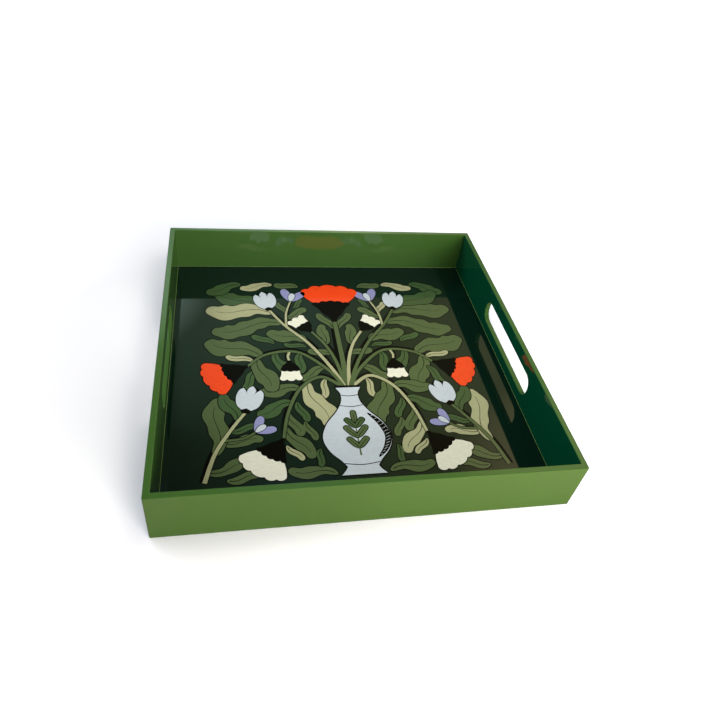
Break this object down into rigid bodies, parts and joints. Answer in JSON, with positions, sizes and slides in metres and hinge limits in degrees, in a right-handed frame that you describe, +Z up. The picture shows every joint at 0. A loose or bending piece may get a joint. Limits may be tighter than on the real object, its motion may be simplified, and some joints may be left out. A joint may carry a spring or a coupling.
{
  "type": "lacquered serving tray",
  "caption": "Square flat-bottomed serving tray with upright mitred sides, a rounded hand slot through each of two opposite sides, glossy green lacquer and a painted floor panel.",
  "frame": {"origin": "centre of the underside, at the level the tray rests on", "axes": "+Z up; the front is -Y; the boards with hand slots stand at -X and +X"},
  "size_m": [0.33, 0.33, 0.05],
  "materials": {
    "olive_lacquer": "gloss",
    "floor_lacquer": "gloss",
    "pin_steel": "satin",
    "paint_ink": "gloss",
    "paint_moss": "gloss",
    "paint_fern": "gloss",
    "paint_sage": "gloss",
    "paint_vermilion": "gloss",
    "paint_cream": "gloss",
    "paint_ice": "gloss",
    "paint_lilac": "gloss"
  },
  "bodies": {
    "root": {"front_board": "olive_lacquer", "back_board": "olive_lacquer", "left_handle_board": "olive_lacquer", "right_handle_board": "olive_lacquer", "base_board": "floor_lacquer", "corner_pins": "pin_steel", "base_pins": "pin_steel"}
  },
  "joints": []
}
